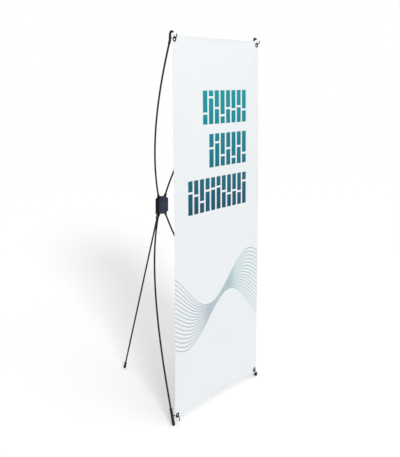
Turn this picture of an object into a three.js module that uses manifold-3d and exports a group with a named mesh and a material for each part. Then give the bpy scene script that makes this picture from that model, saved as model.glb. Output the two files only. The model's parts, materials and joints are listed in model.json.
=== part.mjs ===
// An X-frame banner stand: a printed sheet, hooked by its four corner eyelets over four bowed poles.
// The poles pivot on rivets in a two-shell hub, and a fifth, straight leg hinges behind the hub.
// Millimetres, +Z up. The printed face looks towards -Y and the feet stand on Z = 0.
// While the pieces are made, the sheet lies in the plane Y = 0; the finished stand is then centred.

import * as THREE from "three";
import { mergeVertices } from "three/addons/utils/BufferGeometryUtils.js";
import Module from "manifold-3d";

const wasm = await Module();
wasm.setup();

// General
const seatGap = 0.3; // between two pieces that touch
const roundSides = 12; // facets of turned pieces
const axisX = new THREE.Vector3(1, 0, 0);
const axisY = new THREE.Vector3(0, 1, 0);

// Printed sheet
const sheetWidth = 600;
const sheetHeight = 1600;
const sheetThickness = 0.5;
const sheetFloorGap = 21; // floor to the lower corners
const topEdgeDip = 3; // the pull of the corners bows the top edge down
const bottomEdgeRise = 10; // and the bottom edge up
const eyeletInsetX = 14;
const eyeletInsetZ = 18;

// Eyelets, each a front half with a barrel and a washer behind the sheet
const eyeletBore = 11;
const eyeletWall = 0.7;
const eyeletFlange = 22;
const flangeThickness = 1.1;
const washerThickness = 0.65;
const rollWidth = 1.4; // the barrel's end, rolled over the washer
const rollThickness = 0.4;

// Hub
const hubHeight = 863; // floor to the hub's centre
const hubSetback = 333.5; // sheet to the hub's middle plane
const hubWidth = 62;
const hubTall = 80;
const hubDepth = 25;
const hubWall = 2.4;
const hubEdgeBevel = 1.5;
const cornerCutX = 14;
const cornerCutZ = 11;
const cornerCutEase = 0.45; // keeps the wall even along the slanted corners
const partingGap = 0.3; // between the two covers
const screwSpacing = 26;
const screwShank = 3;
const screwHead = 5.6;
const screwHeadTall = 1.6;
const screwBossWall = 1.9;

// Arms. The direction of each arm where it leaves the hub is given per unit of height.
const poleSides = 10;
const poleSteps = 22; // straight stretches that a bowed pole is drawn with
const armDiameter = 7.6;
const mouthOffsetX = 22; // hub centre to the arm's axis at the hub's edge
const upperArm = { up: 1, splay: 0.349, forward: 0.122, reach: 317, endOut: 3.6, endBack: 20.7 };
const lowerArm = { up: -1, splay: 0.404, forward: 0.077, reach: 290, endOut: 7.5, endBack: 25.9 };
const poleEndToHook = 9.4; // height between the end of an arm and its hook

// Sockets and their pivots
const socketWall = 2.2;
const pivotDepth = 22; // along the arm, from the hub's edge in to the pivot
const socketProud = 10; // along the arm, from the hub's edge out to the mouth
const socketBoreDepth = 20;
const knuckleRadius = 7;
const knuckleHalf = 7.3;
const neckRadius = 4.6;
const pinDiameter = 4.8;
const pinHead = 8.4;
const pinHeadTall = 1.4;
const pinBossWall = 2;
const armFold = 18; // degrees that each arm swings inwards

// Rear leg
const legDiameter = 7.2;
const legHingeBack = 23.3; // from the hub's middle plane
const legHingeRise = 1.3; // above the hub's lower edge
const legHingeDrop = hubTall / 2 - legHingeRise; // from the hub's centre
const legFootBack = 596.4; // sheet to the middle of the rear foot
const legEndHeight = 17;
const legSocketLength = 34;
const legKnuckleHalf = 8.6;
const earThickness = 4;
const earRadius = 6.5;
const earRootTall = 13; // hinge pin to the top of an ear's root
const heelHalf = 6;
const heelTall = 8;
const heelStep = 3; // flat top of the heel, before it slopes to the knuckle
const heelRun = 20;
const heelDrop = 16;

// Caps and feet
const capWall = 1.3;
const capSleeve = 16; // length of pole inside an upper cap
const noseRadius = 4.9;
const noseHeight = 10; // sheet's top edge to the nose's tip
const noseBack = 6; // sheet to the nose's tip
const noseStraight = 8; // how far the nose follows the pole before it curls
const noseCurlBack = 3.3; // pole's end to the back of the curl
const noseCurlRise = 10; // nose's tip to the top of the curl's control line
const footWall = 2.1;
const footSleeve = 18;
const rearFootSleeve = 12;
const footRadius = 6.6;
const footFlat = 5.6; // floor to the centre of a foot's rounded end
const rimWidth = 0.7;
const rimLength = 3;

// Hooks
const wireDiameter = 3.5;
const hookRise = 16;
const hookForward = 15;
const hookOut = 4;
const hookRootShare = 0.27; // how far along its nose an upper hook is rooted
const hookRootBack = 1; // pole's axis to the root of a hook

const plastic = { color: 0x18191c, roughness: 0.5, metalness: 0 };
const moulding = { color: 0x2b2e36, roughness: 0.55, metalness: 0 };
const fibreglass = { color: 0x141518, roughness: 0.35, metalness: 0 };
const wireSteel = { color: 0x9a9c9f, roughness: 0.3, metalness: 1 };
const nickel = { color: 0x85878a, roughness: 0.35, metalness: 1 };
const rivetSteel = { color: 0x55585e, roughness: 0.4, metalness: 1 };
const vinyl = { color: 0xf1f3f4, roughness: 0.6, metalness: 0 };

// Sizes that follow from those above
const sheetTop = sheetFloorGap + sheetHeight;
const eyeletX = sheetWidth / 2 - eyeletInsetX;
const hookLift = eyeletBore / 2 - wireDiameter / 2 - seatGap;
const boreRadius = armDiameter / 2 + seatGap;
const socketRadius = boreRadius + socketWall;
const pinHole = pinDiameter / 2 + seatGap;
const noseEndX = eyeletX + upperArm.endOut;

const point = (x, y, z) => new THREE.Vector3(x, y, z);
const along = (start, direction, distance) => start.clone().addScaledVector(direction, distance);

const stand = new THREE.Group();

// ---------- Shapes ----------

// A closed geometry as a solid that can be cut and joined.
function solidOf(geometry) {
  const bare = geometry.clone();
  bare.deleteAttribute("normal");
  bare.deleteAttribute("uv");
  const merged = mergeVertices(bare, 1e-4);
  return new wasm.Manifold(
    new wasm.Mesh({
      numProp: 3,
      vertProperties: merged.getAttribute("position").array,
      triVerts: new Uint32Array(merged.index.array),
    }),
  );
}

function geometryOf(solid) {
  const mesh = solid.getMesh();
  const geometry = new THREE.BufferGeometry();
  geometry.setAttribute("position", new THREE.BufferAttribute(mesh.vertProperties, 3));
  geometry.setIndex(new THREE.BufferAttribute(mesh.triVerts, 1));
  geometry.computeVertexNormals();
  return geometry;
}

function addPiece(name, solid, finish) {
  const mesh = new THREE.Mesh(geometryOf(solid), new THREE.MeshStandardMaterial(finish));
  mesh.name = name;
  stand.add(mesh);
}

// Turns a profile of [radius, height] pairs about the line from start towards direction.
function turned(profile, start, direction, sides = roundSides) {
  const points = profile.map(([radius, height]) => new THREE.Vector2(radius, height));
  if (THREE.ShapeUtils.isClockWise(points)) points.reverse();
  if (points.every((p) => p.x > 0)) points.push(points[0].clone());
  const geometry = new THREE.LatheGeometry(points, sides);
  geometry.applyQuaternion(new THREE.Quaternion().setFromUnitVectors(axisY, direction));
  geometry.translate(start.x, start.y, start.z);
  return solidOf(geometry);
}

function rod(start, direction, length, radius, sides = roundSides) {
  const profile = [
    [0, 0],
    [radius, 0],
    [radius, length],
    [0, length],
  ];
  return turned(profile, start, direction, sides);
}

function ball(centre, radius) {
  const geometry = new THREE.SphereGeometry(radius, roundSides, roundSides / 2);
  geometry.translate(centre.x, centre.y, centre.z);
  return solidOf(geometry);
}

function block(low, high) {
  const size = high.clone().sub(low);
  const geometry = new THREE.BoxGeometry(size.x, size.y, size.z);
  geometry.translate((low.x + high.x) / 2, (low.y + high.y) / 2, (low.z + high.z) / 2);
  return solidOf(geometry);
}

// An outline drawn in X and Z, given a thickness in Y about the middle plane.
function plate(shape, thickness, middleY, bevel = 0, curveSegments = 12) {
  const geometry = new THREE.ExtrudeGeometry(shape, {
    depth: thickness - 2 * bevel,
    bevelEnabled: bevel > 0,
    bevelThickness: bevel,
    bevelSize: bevel,
    bevelOffset: -bevel,
    bevelSegments: 2,
    curveSegments,
  });
  geometry.translate(0, 0, bevel - thickness / 2);
  geometry.rotateX(Math.PI / 2);
  geometry.translate(0, middleY, 0);
  return solidOf(geometry);
}

// A round bar that follows a curve.
function bar(curve, radius, sides, steps) {
  const ring = [];
  for (let i = 0; i < sides; i++) {
    const turn = (2 * Math.PI * i) / sides;
    ring.push(new THREE.Vector2(radius * Math.cos(turn), radius * Math.sin(turn)));
  }
  const options = { steps, extrudePath: curve, bevelEnabled: false };
  return solidOf(new THREE.ExtrudeGeometry(new THREE.Shape(ring), options));
}

// ---------- Lines of the frame ----------

// The line of one arm: straight in its socket, then bowed to the end of the pole.
function armLine(arm, side) {
  const out = point(side * arm.splay, -arm.forward, arm.up).normalize();
  const edge = point(side * mouthOffsetX, hubSetback, hubHeight + (arm.up * hubTall) / 2);
  const hookZ = eyeletHeight(arm) + arm.up * hookLift;
  const end = point(side * (eyeletX + arm.endOut), arm.endBack, hookZ - arm.up * poleEndToHook);
  const bend = along(edge, out, arm.reach);
  const endWay = end.clone().sub(bend).normalize();
  const pivot = along(edge, out, -pivotDepth);
  return { arm, side, out, edge, end, bend, endWay, pivot, hookZ };
}

function eyeletHeight(arm) {
  return arm.up > 0 ? sheetTop - eyeletInsetZ : sheetFloorGap + eyeletInsetZ;
}

const legHinge = point(0, hubSetback + legHingeBack, hubHeight - legHingeDrop);
const legWay = point(0, legFootBack, 0).sub(legHinge).normalize();
const legEnd = along(legHinge, legWay, (legHinge.z - legEndHeight) / -legWay.z);

const arms = {
  upper_left: armLine(upperArm, -1),
  upper_right: armLine(upperArm, 1),
  lower_left: armLine(lowerArm, -1),
  lower_right: armLine(lowerArm, 1),
};

// ---------- Sheet and eyelets ----------

function addSheet() {
  const half = sheetWidth / 2;
  const outline = new THREE.Shape();
  outline.moveTo(-half, sheetFloorGap);
  outline.quadraticCurveTo(0, sheetFloorGap + 2 * bottomEdgeRise, half, sheetFloorGap);
  outline.lineTo(half, sheetTop);
  outline.quadraticCurveTo(0, sheetTop - 2 * topEdgeDip, -half, sheetTop);
  outline.closePath();
  let sheet = plate(outline, sheetThickness, 0);
  const holeRadius = eyeletBore / 2 + eyeletWall + seatGap;
  for (const { arm, side } of Object.values(arms)) {
    const start = point(side * eyeletX, -sheetThickness, eyeletHeight(arm));
    sheet = sheet.subtract(rod(start, axisY, 2 * sheetThickness, holeRadius));
  }
  addPiece("banner_sheet", sheet, vinyl);
}

function addEyelet(name, line) {
  const centre = point(line.side * eyeletX, 0, eyeletHeight(line.arm));
  const inner = eyeletBore / 2;
  const barrel = inner + eyeletWall;
  const outer = eyeletFlange / 2;
  const face = sheetThickness / 2 + seatGap;
  const rollStart = face + washerThickness + seatGap;
  const rollEnd = rollStart + rollThickness;
  const front = [
    [inner, 0.4 - face - flangeThickness],
    [barrel, -face - flangeThickness],
    [0.85 * outer, 0.3 - face - flangeThickness],
    [outer, 0.3 - face],
    [outer, -face],
    [barrel, -face],
    [barrel, rollStart],
    [barrel + rollWidth, rollStart],
    [barrel + rollWidth, rollEnd],
    [inner, rollEnd],
  ];
  const washer = [
    [barrel + seatGap, face],
    [outer - 0.5, face],
    [outer - 0.5, face + washerThickness / 2],
    [outer - 1, face + washerThickness],
    [barrel + seatGap, face + washerThickness],
  ];
  addPiece(`${name}_eyelet`, turned(front, centre, axisY), nickel);
  addPiece(`${name}_eyelet_washer`, turned(washer, centre, axisY), nickel);
}

// ---------- Hub ----------

function hubOutline(inset) {
  const halfX = hubWidth / 2 - inset;
  const halfZ = hubTall / 2 - inset;
  const cut = inset * cornerCutEase;
  const cornerX = halfX - cornerCutX + cut;
  const cornerZ = halfZ - cornerCutZ + cut;
  const corners = [
    [halfX, -cornerZ],
    [halfX, cornerZ],
    [cornerX, halfZ],
    [-cornerX, halfZ],
    [-halfX, cornerZ],
    [-halfX, -cornerZ],
    [-cornerX, -halfZ],
    [cornerX, -halfZ],
  ];
  return new THREE.Shape(corners.map(([x, z]) => new THREE.Vector2(x, hubHeight + z)));
}

// The room that one socket sweeps as its arm swings in from the open stop.
function socketSweep({ arm, side, out, pivot }) {
  const halfWidth = socketRadius + seatGap;
  const length = 2 * (pivotDepth + socketProud);
  const open = Math.atan2(arm.splay, 1);
  const closed = open - THREE.MathUtils.degToRad(armFold);
  const corner = (angle, across, up) => {
    const x = across * Math.cos(angle) + up * Math.sin(angle);
    const z = up * Math.cos(angle) - across * Math.sin(angle);
    return new THREE.Vector2(pivot.x + side * x, pivot.z + arm.up * z);
  };
  const corners = [
    corner(closed, -halfWidth, 0),
    corner(closed, -halfWidth, length),
    corner(open, halfWidth, length),
    corner(open, halfWidth, 0),
  ];
  const leanRoom = pivotDepth * Math.abs(out.y);
  return plate(new THREE.Shape(corners), 2 * (halfWidth + leanRoom / 2), hubSetback + leanRoom / 4);
}

function screwPlaces() {
  return [-1, 1].map((way) => point(0, hubSetback, hubHeight + (way * screwSpacing) / 2));
}

function addHubCovers() {
  const innerDepth = hubDepth / 2 - hubWall;
  const outer = plate(hubOutline(0), hubDepth, hubSetback, hubEdgeBevel);
  const cavity = plate(hubOutline(hubWall), 2 * innerDepth, hubSetback);
  let shell = outer.subtract(cavity);
  for (const line of Object.values(arms)) {
    shell = shell.subtract(socketSweep(line));
  }
  const bossStart = knuckleHalf + seatGap;
  for (const way of [-1, 1]) {
    const facing = point(0, way, 0);
    const near = hubSetback + (way * partingGap) / 2;
    const far = hubSetback + way * hubDepth;
    const low = point(-hubWidth, Math.min(near, far), hubHeight - hubTall);
    const high = point(hubWidth, Math.max(near, far), hubHeight + hubTall);
    let cover = shell.intersect(block(low, high));
    for (const { pivot } of Object.values(arms)) {
      const start = point(pivot.x, hubSetback + way * bossStart, pivot.z);
      const length = hubDepth / 2 - bossStart - hubWall / 2;
      cover = cover.add(rod(start, facing, length, pinHole + pinBossWall));
      const hole = point(pivot.x, hubSetback, pivot.z);
      cover = cover.subtract(rod(hole, facing, hubDepth, pinHole));
    }
    const screwHole = screwShank / 2 + seatGap;
    for (const place of screwPlaces()) {
      const start = along(place, facing, partingGap / 2);
      const length = hubDepth / 2 - partingGap / 2 - hubWall / 2;
      cover = cover.add(rod(start, facing, length, screwHole + screwBossWall));
      const depth = way > 0 ? hubDepth : hubDepth / 2 - hubWall;
      cover = cover.subtract(rod(place, facing, depth, screwHole));
      if (way > 0) {
        const recess = along(place, facing, hubDepth / 2 - screwHeadTall - seatGap);
        cover = cover.subtract(rod(recess, facing, hubDepth, screwHead / 2 + seatGap));
      }
    }
    if (way > 0) cover = cover.add(legEars());
    addPiece(way > 0 ? "hub_rear_cover" : "hub_front_cover", cover, moulding);
  }
}

// Two ears on the rear cover that carry the leg's hinge pin.
function legEars() {
  const rootY = hubDepth / 2 - hubWall / 2;
  const outline = new THREE.Shape();
  outline.moveTo(rootY, -legHingeDrop + earRootTall);
  outline.lineTo(rootY, -legHingeDrop + 1);
  outline.lineTo(legHingeBack - 2, -legHingeDrop - earRadius);
  outline.absarc(legHingeBack, -legHingeDrop, earRadius, -Math.PI / 2, Math.PI / 4, false);
  outline.closePath();
  const drill = point(-hubWidth / 2, legHinge.y, legHinge.z);
  let ears = null;
  for (const side of [-1, 1]) {
    const options = { depth: earThickness, bevelEnabled: false, curveSegments: 6 };
    const geometry = new THREE.ExtrudeGeometry(outline, options);
    geometry.rotateX(Math.PI / 2);
    geometry.rotateZ(Math.PI / 2);
    const inner = legKnuckleHalf + seatGap;
    const shift = side > 0 ? inner : -inner - earThickness;
    geometry.translate(shift, hubSetback, hubHeight);
    const ear = solidOf(geometry);
    ears = ears ? ears.add(ear) : ear;
  }
  return ears.subtract(rod(drill, axisX, hubWidth, pinHole));
}

function addHubScrews() {
  const names = ["hub_screw_lower", "hub_screw_upper"];
  screwPlaces().forEach((place, i) => {
    const tip = -(hubDepth / 2 - hubWall - 1);
    const seat = hubDepth / 2 - screwHeadTall;
    const profile = [
      [0, tip],
      [screwShank / 2, tip],
      [screwShank / 2, seat],
      [screwHead / 2, seat],
      [screwHead / 2, seat + 0.6 * screwHeadTall],
      [screwHead / 4, seat + screwHeadTall],
      [0, seat + screwHeadTall],
    ];
    addPiece(names[i], turned(profile, place, axisY), rivetSteel);
  });
}

// A rivet through both walls: a domed head at its start and a flatter one where it is closed.
function rivet(start, direction, span) {
  const shank = pinDiameter / 2;
  const head = pinHead / 2;
  const profile = [
    [0, -pinHeadTall],
    [0.5 * head, -pinHeadTall],
    [head, -0.4 * pinHeadTall],
    [head, 0],
    [shank, 0],
    [shank, span],
    [0.8 * head, span],
    [0.8 * head, span + 0.5 * pinHeadTall],
    [0.5 * head, span + 0.8 * pinHeadTall],
    [0, span + 0.8 * pinHeadTall],
  ];
  return turned(profile, start, direction);
}

// ---------- Arms ----------

function addSocket(name, { side, out, pivot }) {
  const mouth = pivotDepth + socketProud;
  const sleeveStart = knuckleRadius + 2;
  const knuckleStart = point(pivot.x, hubSetback - knuckleHalf, pivot.z);
  let socket = rod(knuckleStart, axisY, 2 * knuckleHalf, knuckleRadius);
  socket = socket.add(rod(pivot, out, sleeveStart + 1, neckRadius));
  const sleeve = [
    [0, sleeveStart],
    [socketRadius - 1, sleeveStart],
    [socketRadius, sleeveStart + 1.5],
    [socketRadius, mouth - 1],
    [socketRadius - 0.8, mouth],
    [0, mouth],
  ];
  socket = socket.add(turned(sleeve, pivot, out));
  const boreStart = along(pivot, out, mouth - socketBoreDepth);
  socket = socket.subtract(rod(boreStart, out, 2 * socketBoreDepth, boreRadius));
  const pinStart = point(pivot.x, hubSetback - hubDepth, pivot.z);
  socket = socket.subtract(rod(pinStart, axisY, 2 * hubDepth, pinHole));
  addPiece(`${name}_socket`, socket, plastic);

  const rivetStart = point(pivot.x, hubSetback - hubDepth / 2 - seatGap, pivot.z);
  addPiece(`${name}_pivot_rivet`, rivet(rivetStart, axisY, hubDepth + 2 * seatGap), rivetSteel);
}

function armPath({ out, edge, end, bend }) {
  const mouth = along(edge, out, socketProud);
  const path = new THREE.CurvePath();
  path.add(new THREE.LineCurve3(along(mouth, out, seatGap - socketBoreDepth), mouth));
  path.add(new THREE.QuadraticBezierCurve3(mouth, bend, end));
  return path;
}

function addArmPole(name, line) {
  const pole = bar(armPath(line), armDiameter / 2, poleSides, poleSteps);
  addPiece(`${name}_pole`, pole, fibreglass);
}

// The bore of a cap follows the bowed pole.
function armHole(line) {
  const path = armPath(line);
  path.add(new THREE.LineCurve3(line.end, along(line.end, line.endWay, seatGap)));
  return bar(path, boreRadius, poleSides, poleSteps);
}

// The round hook goes forward from its cap, through the eyelet, and up or down in front of the sheet.
function hookPath(line) {
  const { arm, side, hookZ } = line;
  const x = side * eyeletX;
  const root = hookRoot(line);
  return new THREE.CatmullRomCurve3([
    root,
    point(0.5 * (root.x + x), 0.5 * root.y, hookZ),
    point(x, 0.1 * hookForward, hookZ),
    point(x, -0.45 * hookForward, hookZ + arm.up * 0.06 * hookRise),
    point(x + side * 0.3 * hookOut, -0.86 * hookForward, hookZ + arm.up * 0.38 * hookRise),
    point(x + side * hookOut, -hookForward, hookZ + arm.up * hookRise),
  ]);
}

// The hook is rooted just behind the middle of its cap.
function hookRoot(line) {
  const { arm, end, endWay, hookZ } = line;
  const straight = along(end, endWay, (hookZ - end.z) / endWay.z);
  const middle = arm.up > 0 ? noseCurve(line).getPoint(hookRootShare) : straight;
  return point(middle.x, middle.y + hookRootBack, hookZ);
}

function addHook(name, line) {
  addPiece(`${name}_hook`, bar(hookPath(line), wireDiameter / 2, 8, 14), wireSteel);
}

function hookHole(line) {
  return bar(hookPath(line), wireDiameter / 2 + seatGap, 8, 14);
}

// The nose rises from the pole's end and curls forward over the sheet's top edge.
function noseCurve({ side, end, endWay }) {
  const tip = point(side * noseEndX, noseBack, sheetTop + noseHeight);
  const curl = point(side * noseEndX, end.y + noseCurlBack, tip.z + noseCurlRise);
  return new THREE.CubicBezierCurve3(end, along(end, endWay, noseStraight), curl, tip);
}

function addUpperCap(name, line) {
  const { end, endWay } = line;
  const radius = boreRadius + capWall;
  const sleeve = [
    [0, -capSleeve],
    [radius + rimWidth, -capSleeve],
    [radius + rimWidth, rimLength - capSleeve],
    [radius, rimLength - capSleeve + 1],
    [radius, 1],
    [noseRadius, 3],
    [0, 3],
  ];
  const nose = noseCurve(line);
  let cap = turned(sleeve, end, endWay);
  cap = cap.add(bar(nose, noseRadius, 12, 12));
  cap = cap.add(ball(nose.getPoint(1), noseRadius * 0.99));
  cap = cap.subtract(armHole(line));
  cap = cap.subtract(hookHole(line));
  addPiece(`${name}_end_cap`, cap, plastic);
}

// A foot is a sleeve with a rounded end, cut flat where it stands on the floor.
function foot(end, way, radius, sleeve) {
  const centre = along(end, way, (end.z - footFlat) / -way.z);
  const length = centre.distanceTo(end);
  const profile = [
    [0, -sleeve],
    [radius + rimWidth, -sleeve],
    [radius + rimWidth, rimLength - sleeve],
    [radius, rimLength - sleeve + 1],
    [radius, 0.6 * length],
    [footRadius, length],
    [0, length],
  ];
  const below = 4 * footRadius;
  const low = point(centre.x - below, centre.y - below, -below);
  const high = point(centre.x + below, centre.y + below, 0);
  const body = turned(profile, end, way).add(ball(centre, footRadius));
  return body.subtract(block(low, high));
}

function addFootCap(name, line) {
  let cap = foot(line.end, line.endWay, armDiameter / 2 + footWall, footSleeve);
  cap = cap.subtract(armHole(line));
  cap = cap.subtract(hookHole(line));
  addPiece(`${name}_foot_cap`, cap, plastic);
}

// ---------- Rear leg ----------

function addRearLeg() {
  const bore = legDiameter / 2 + seatGap;
  const radius = bore + socketWall;
  const sleeveStart = knuckleRadius + 2;
  const boreStart = legSocketLength - socketBoreDepth;

  const knuckleStart = point(-legKnuckleHalf, legHinge.y, legHinge.z);
  let socket = rod(knuckleStart, axisX, 2 * legKnuckleHalf, knuckleRadius);
  socket = socket.add(rod(legHinge, legWay, sleeveStart + 1, neckRadius));
  const sleeve = [
    [0, sleeveStart],
    [radius - 1, sleeveStart],
    [radius, sleeveStart + 1.5],
    [radius, legSocketLength - 1],
    [radius - 0.8, legSocketLength],
    [0, legSocketLength],
  ];
  socket = socket.add(turned(sleeve, legHinge, legWay));
  // The heel rests against the rear cover and stops the leg where it is open.
  const coverFace = hubSetback + hubDepth / 2 + seatGap;
  const heelLow = point(-heelHalf, coverFace, legHinge.z + 1);
  const heelHigh = point(heelHalf, legHinge.y, legHinge.z + 1 + heelTall);
  socket = socket.add(block(heelLow, heelHigh).subtract(heelSlope()));
  socket = socket.subtract(rod(along(legHinge, legWay, boreStart), legWay, 2 * socketBoreDepth, bore));
  socket = socket.subtract(rod(point(-hubWidth, legHinge.y, legHinge.z), axisX, 2 * hubWidth, pinHole));
  addPiece("rear_leg_socket", socket, plastic);

  const earOuter = legKnuckleHalf + seatGap + earThickness + seatGap;
  const pin = rivet(point(-earOuter, legHinge.y, legHinge.z), axisX, 2 * earOuter);
  addPiece("rear_leg_hinge_pin", pin, rivetSteel);

  const poleStart = along(legHinge, legWay, boreStart + seatGap);
  const pole = rod(poleStart, legWay, legEnd.distanceTo(poleStart), legDiameter / 2, poleSides);
  addPiece("rear_leg_pole", pole, fibreglass);

  const legFoot = foot(legEnd, legWay, legDiameter / 2 + footWall, rearFootSleeve);
  const holeStart = along(legEnd, legWay, -2 * rearFootSleeve);
  const hole = rod(holeStart, legWay, 2 * rearFootSleeve + seatGap, bore);
  addPiece("rear_leg_foot", legFoot.subtract(hole), plastic);
}

// Slopes the top of the heel down to the knuckle.
function heelSlope() {
  const shape = new THREE.Shape();
  shape.moveTo(0, 0);
  shape.lineTo(heelRun, 0);
  shape.lineTo(heelRun, -heelDrop);
  shape.closePath();
  const options = { depth: 3 * heelHalf, bevelEnabled: false };
  const geometry = new THREE.ExtrudeGeometry(shape, options);
  geometry.rotateX(Math.PI / 2);
  geometry.rotateZ(Math.PI / 2);
  const startY = hubSetback + hubDepth / 2 + seatGap + heelStep;
  geometry.translate(-1.5 * heelHalf, startY, legHinge.z + 1 + heelTall + 0.1);
  return solidOf(geometry);
}

// ---------- Assembly ----------

addSheet();
addHubCovers();
addHubScrews();
for (const [name, line] of Object.entries(arms)) {
  addSocket(name, line);
  addArmPole(name, line);
  if (line.arm.up > 0) addUpperCap(name, line);
  else addFootCap(name, line);
  addHook(name, line);
  addEyelet(name, line);
}
addRearLeg();

// The origin is on the floor, under the middle of the stand.
const extent = new THREE.Box3().setFromObject(stand);
stand.position.y = -(extent.min.y + extent.max.y) / 2;

export default stand;
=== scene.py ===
import json
import math

import bmesh
import bpy
from mathutils import Matrix, Vector, noise


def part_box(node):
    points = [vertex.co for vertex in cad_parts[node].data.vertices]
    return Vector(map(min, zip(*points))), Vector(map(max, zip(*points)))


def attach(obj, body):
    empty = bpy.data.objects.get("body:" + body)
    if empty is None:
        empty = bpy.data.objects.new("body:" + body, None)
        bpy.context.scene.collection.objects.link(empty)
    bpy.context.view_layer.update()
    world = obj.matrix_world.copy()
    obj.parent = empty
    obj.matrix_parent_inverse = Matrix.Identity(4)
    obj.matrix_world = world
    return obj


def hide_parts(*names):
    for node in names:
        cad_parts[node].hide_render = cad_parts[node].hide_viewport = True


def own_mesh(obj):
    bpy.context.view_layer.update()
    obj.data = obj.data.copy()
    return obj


# X-frame banner stand: a printed sheet hooked over four bowed rods, with a leg behind.
# Shapes are worked out in millimetres and written in metres when a piece is made.

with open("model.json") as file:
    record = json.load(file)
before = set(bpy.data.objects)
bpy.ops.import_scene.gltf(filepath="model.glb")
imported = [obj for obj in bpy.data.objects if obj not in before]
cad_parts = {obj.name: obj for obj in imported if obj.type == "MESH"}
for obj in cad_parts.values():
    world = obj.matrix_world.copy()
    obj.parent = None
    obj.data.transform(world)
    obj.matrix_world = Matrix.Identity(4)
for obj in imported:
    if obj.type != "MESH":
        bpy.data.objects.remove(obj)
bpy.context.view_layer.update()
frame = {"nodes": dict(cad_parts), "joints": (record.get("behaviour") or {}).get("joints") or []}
print("frame loaded:", len(frame["nodes"]), "nodes")


def boxOf(node):
    low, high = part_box(node)
    return low * 1000, high * 1000


def centreOf(node):
    low, high = boxOf(node)
    return (low + high) / 2


hinges = {j["child"]: Vector(j["pos_m"]) * 1000 for j in frame["joints"]}
sheetLow, sheetHigh = boxOf("banner_sheet")
sheetY = (sheetLow.y + sheetHigh.y) / 2
hubLow = boxOf("hub_front_cover")[0]
hubHigh = boxOf("hub_rear_cover")[1]
hubY = centreOf("hub_screw_upper").y
hubFrontY = hubLow.y
hubZ = (hubLow.z + boxOf("hub_front_cover")[1].z) / 2


camera = dict(place=(-2.4107, -2.13695, 1.4521), azimuth=-55.658, elevation=7.628, roll=0.431,
              lens=55.13, shiftX=-0.1225, shiftY=-0.1236)
studio = dict(skySeen=1.0, skyDim=0.06, skyBright=0.99, skyBrightWay=(0.5, -0.3, 0.8),
              floorSize=60, floorTone=1.0, floorRoughness=0.9, floorGloss=0.1,
              sunFrom=(-0.52, -0.78, 0.44), sunPower=1.7, sunSpread=13,
              lampPlace=(-0.35, -1.5, 2.5), lampAim=(0.0, -0.29, 1.45), lampSize=0.9, lampPower=5)


def addCamera(values):
    azimuth, elevation, roll = (math.radians(values[k]) for k in ("azimuth", "elevation", "roll"))
    back = Vector((math.sin(azimuth) * math.cos(elevation),
                   -math.cos(azimuth) * math.cos(elevation), math.sin(elevation)))
    right = Vector((math.cos(azimuth), math.sin(azimuth), 0))
    up = back.cross(right)
    across = math.cos(roll) * right + math.sin(roll) * up
    upward = math.cos(roll) * up - math.sin(roll) * right
    made = bpy.data.objects.new("camera", bpy.data.cameras.new("camera"))
    bpy.context.scene.collection.objects.link(made)
    turn = Matrix((across, upward, back)).transposed().to_4x4()
    made.matrix_world = Matrix.Translation(values["place"]) @ turn
    made.data.sensor_width = 36
    made.data.lens = values["lens"]
    made.data.shift_x = values["shiftX"]
    made.data.shift_y = values["shiftY"]
    bpy.context.scene.camera = made


def addLight(name, kind, place, direction, **settings):
    lamp = bpy.data.lights.new(name, kind)
    for key, value in settings.items():
        setattr(lamp, key, value)
    made = bpy.data.objects.new(name, lamp)
    made.location = place
    made.rotation_mode = "QUATERNION"
    made.rotation_quaternion = direction.to_track_quat("-Z", "Y")
    bpy.context.scene.collection.objects.link(made)


def addSky(values):
    # Seen directly the sky is plain white. Its light is brighter on one side.
    world = bpy.data.worlds.new("studio")
    world.use_nodes = True
    bpy.context.scene.world = world
    tree = world.node_tree
    backdrop = tree.nodes["Background"]
    backdrop.inputs["Color"].default_value = (1, 1, 1, 1)
    way = tree.nodes.new("ShaderNodeTexCoord")
    share = tree.nodes.new("ShaderNodeVectorMath")
    share.operation = "DOT_PRODUCT"
    share.inputs[1].default_value = Vector(values["skyBrightWay"]).normalized()
    light = tree.nodes.new("ShaderNodeMapRange")
    light.inputs["From Min"].default_value = -1
    light.inputs["To Min"].default_value = values["skyDim"]
    light.inputs["To Max"].default_value = values["skyBright"]
    path = tree.nodes.new("ShaderNodeLightPath")
    level = tree.nodes.new("ShaderNodeMapRange")
    level.inputs["To Max"].default_value = values["skySeen"]
    tree.links.new(way.outputs["Generated"], share.inputs[0])
    tree.links.new(share.outputs["Value"], light.inputs["Value"])
    tree.links.new(path.outputs["Is Camera Ray"], level.inputs["Value"])
    tree.links.new(light.outputs["Result"], level.inputs["To Min"])
    tree.links.new(level.outputs["Result"], backdrop.inputs["Strength"])


def addStudio(values):
    addSky(values)
    addLight("keyLight", "SUN", (0, 0, 4), -Vector(values["sunFrom"]), energy=values["sunPower"],
             angle=math.radians(values["sunSpread"]))
    place, aim = Vector(values["lampPlace"]), Vector(values["lampAim"])
    addLight("topLamp", "AREA", place, aim - place, energy=values["lampPower"],
             size=values["lampSize"], shape="DISK")
    bpy.context.scene.view_settings.view_transform = "Standard"


def addFloor(values):
    shape = bmesh.new()
    bmesh.ops.create_grid(shape, x_segments=1, y_segments=1, size=values["floorSize"] / 2)
    mesh = bpy.data.meshes.new("floor")
    shape.to_mesh(mesh)
    shape.free()
    floor = bpy.data.objects.new("floor", mesh)
    bpy.context.scene.collection.objects.link(floor)
    paint = bpy.data.materials.new("paleFloor")
    paint.use_nodes = True
    shader = paint.node_tree.nodes["Principled BSDF"]
    pale = values["floorTone"]
    shader.inputs["Base Color"].default_value = (pale, pale, pale, 1)
    shader.inputs["Roughness"].default_value = values["floorRoughness"]
    shader.inputs["Specular IOR Level"].default_value = values["floorGloss"]
    mesh.materials.append(paint)


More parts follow.
